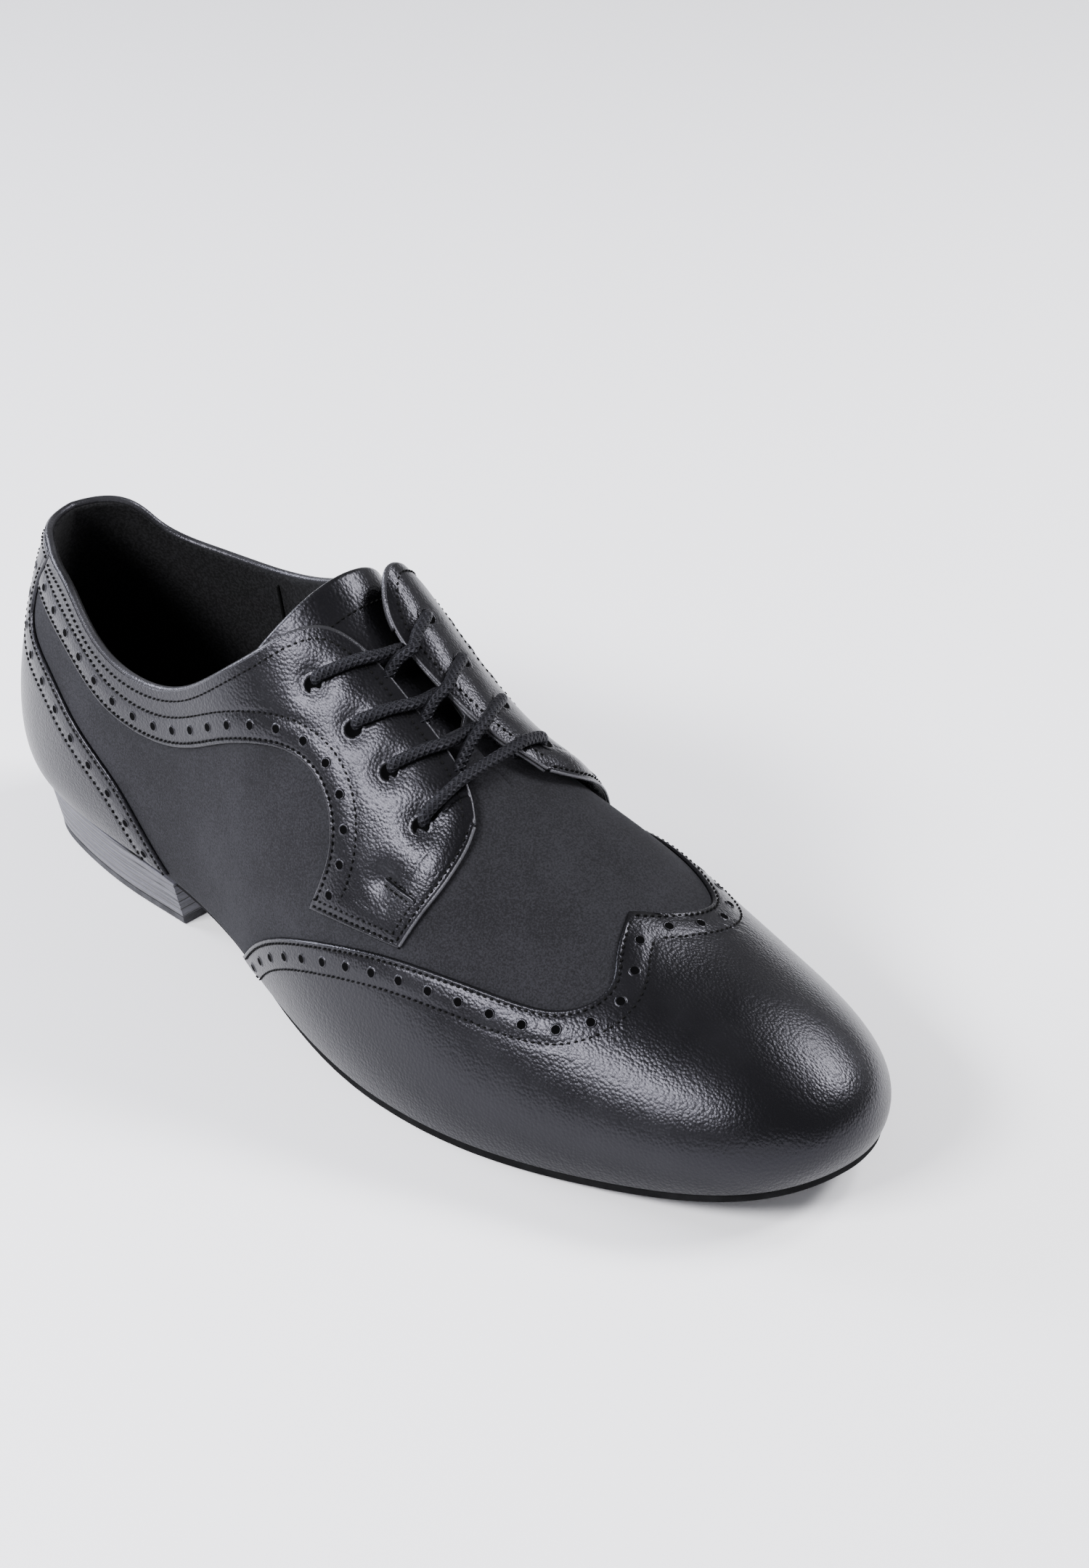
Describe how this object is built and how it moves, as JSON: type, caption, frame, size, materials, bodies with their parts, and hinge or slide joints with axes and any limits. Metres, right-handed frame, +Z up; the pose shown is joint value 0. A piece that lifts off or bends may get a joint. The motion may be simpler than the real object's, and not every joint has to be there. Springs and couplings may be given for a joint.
{
  "type": "ballroom dance shoe",
  "caption": "Low-heeled lace-up ballroom dance shoe with a brogue wing tip, for the right foot; black smooth leather over charcoal nubuck.",
  "frame": {"origin": "centre of the shoe's bounding box, on the floor under heel and forefoot", "axes": "+X from heel to toe, +Y to the inner (medial) side, +Z up"},
  "size_m": [0.304, 0.0994, 0.1166],
  "materials": {
    "upper_nubuck": "matte charcoal nubuck",
    "toe_leather": "smooth black leather, satin",
    "counter_leather": "smooth black leather, satin",
    "facing_leather": "smooth black leather, satin",
    "tongue_leather": "smooth black leather, fine grain",
    "insole_textile": "grey-black textile sock lining",
    "sole_leather": "matte black edge, suede underside",
    "heel_stack": "grey-black stacked leather",
    "top_piece_rubber": "matte black rubber",
    "lace_cord": "round braided black cord"
  },
  "bodies": {
    "root": {"upper": "upper_nubuck", "wing_tip": "toe_leather", "heel_counter": "counter_leather", "facing_lateral": "facing_leather", "facing_medial": "facing_leather", "tongue": "tongue_leather", "insole": "insole_textile", "outsole": "sole_leather", "heel": "heel_stack", "heel_top_piece": "top_piece_rubber", "lace_bar": "lace_cord", "lace_crossing_1": "lace_cord", "lace_crossing_2": "lace_cord", "lace_crossing_3": "lace_cord"}
  },
  "joints": []
}
